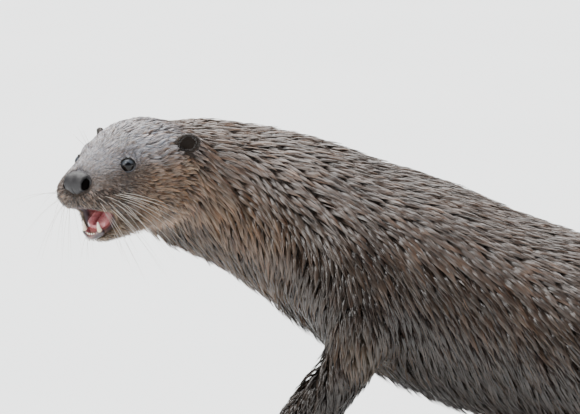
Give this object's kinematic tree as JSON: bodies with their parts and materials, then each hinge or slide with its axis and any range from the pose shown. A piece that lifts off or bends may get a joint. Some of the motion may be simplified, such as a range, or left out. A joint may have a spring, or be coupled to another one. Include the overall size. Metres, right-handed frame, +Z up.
{
  "type": "river otter",
  "caption": "Life-size river otter model standing with raised chest, low hindquarters and tail on the ground, head turned to its left and mouth open.",
  "frame": {"origin": "middle of the bounding box in plan, at the level of the soles on the floor", "axes": "+X towards the tail, so the body heads along -X; -Y is the otter's left side, which the picture shows; +Z up"},
  "size_m": [1.0464, 0.2584, 0.2914],
  "materials": {
    "coat": "wet brown fur",
    "ear_skin": "satin",
    "eye": "wet gloss",
    "nose_leather": "damp satin",
    "tongue": "wet gloss",
    "tooth": "gloss",
    "claw": "satin"
  },
  "bodies": {
    "root": {"canine_left": "tooth", "canine_right": "tooth", "chest": "coat", "claw_fore_left_1": "claw", "claw_fore_left_2": "claw", "claw_fore_left_3": "claw", "claw_fore_left_4": "claw", "claw_fore_left_5": "claw", "claw_fore_right_1": "claw", "claw_fore_right_2": "claw", "claw_fore_right_3": "claw", "claw_fore_right_4": "claw", "claw_fore_right_5": "claw", "claw_hind_left_1": "claw", "claw_hind_left_2": "claw", "claw_hind_left_3": "claw", "claw_hind_left_4": "claw", "claw_hind_left_5": "claw", "claw_hind_right_1": "claw", "claw_hind_right_2": "claw", "claw_hind_right_3": "claw", "claw_hind_right_4": "claw", "claw_hind_right_5": "claw", "ear_left": "ear_skin", "ear_right": "ear_skin", "eye_left": "eye", "eye_right": "eye", "forearm_left": "coat", "forearm_right": "coat", "forepaw_left": "coat", "forepaw_right": "coat", "head": "coat", "hindpaw_left": "coat", "hindpaw_right": "coat", "hips": "coat", "loin": "coat", "lower_jaw": "coat", "neck": "coat", "nose_pad": "nose_leather", "shank_left": "coat", "shank_right": "coat", "shoulder_left": "coat", "shoulder_right": "coat", "tail_base": "coat", "tail_tip": "coat", "thigh_left": "coat", "thigh_right": "coat", "tongue": "tongue"}
  },
  "joints": []
}
